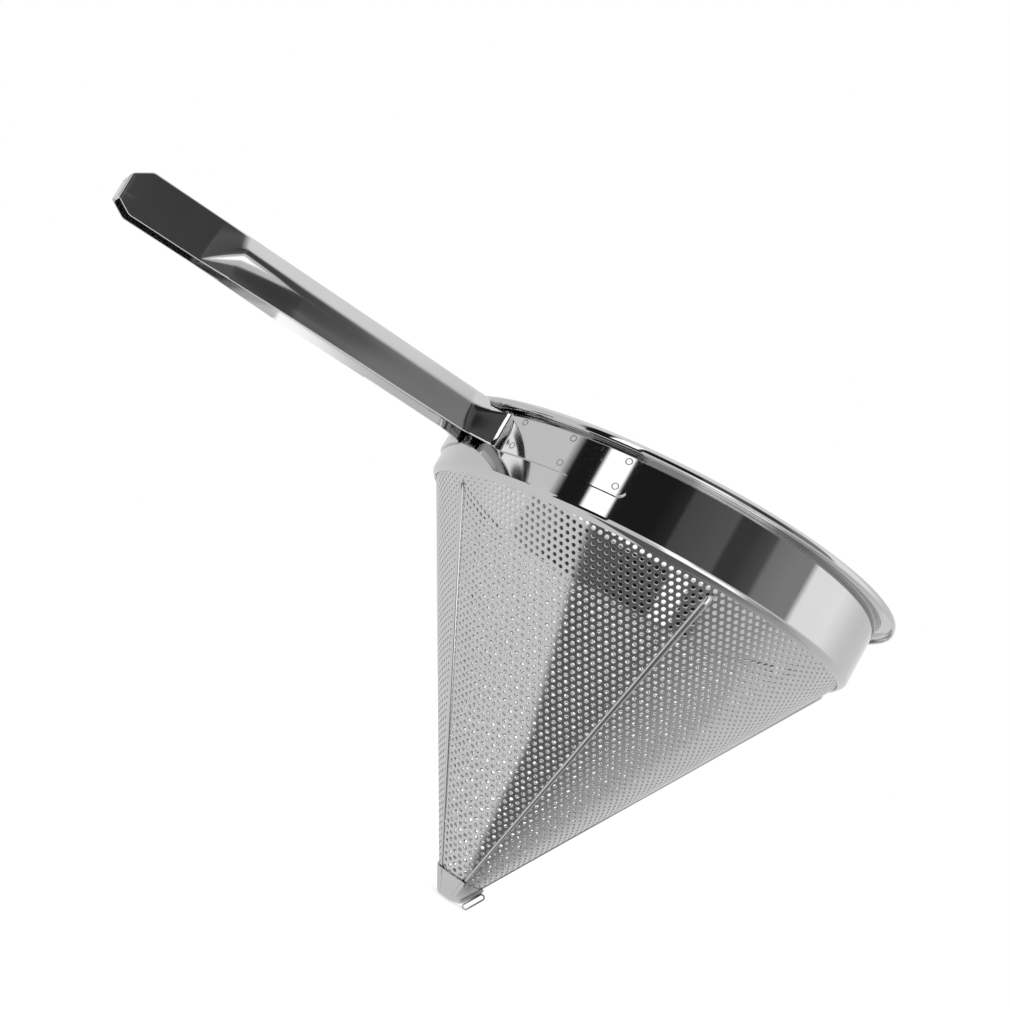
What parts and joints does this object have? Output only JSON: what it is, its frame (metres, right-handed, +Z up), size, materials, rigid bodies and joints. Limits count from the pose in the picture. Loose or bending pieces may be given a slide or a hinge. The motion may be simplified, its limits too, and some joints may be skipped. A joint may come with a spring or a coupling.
{
  "type": "conical strainer",
  "caption": "Conical perforated stainless strainer with a rolled rim band, stiffening ribs, a tip cap, a channel handle and a pot hook.",
  "frame": {"origin": "middle of the round mouth, level with the top of the rolled lip", "axes": "+Z up out of the mouth along the cone's axis, -X along the handle, +X along the pot hook"},
  "size_m": [0.4847, 0.256, 0.232],
  "materials": {
    "polished_steel": "polished stainless steel",
    "perforated_sheet": "bright stainless sheet with round punched holes",
    "satin_steel": "satin stainless steel with fine handling scratches",
    "weld_steel": "spot weld marks"
  },
  "bodies": {
    "root": {"cone_rib_1": "polished_steel", "cone_rib_2": "polished_steel", "cone_rib_3": "polished_steel", "cone_rib_4": "polished_steel", "cone_rib_5": "polished_steel", "handle": "satin_steel", "handle_spot_welds": "weld_steel", "hook_spot_welds": "weld_steel", "perforated_cone": "perforated_sheet", "rest_hook": "satin_steel", "rim_band": "polished_steel", "tip_cap": "polished_steel", "tip_loop": "polished_steel"}
  },
  "joints": []
}
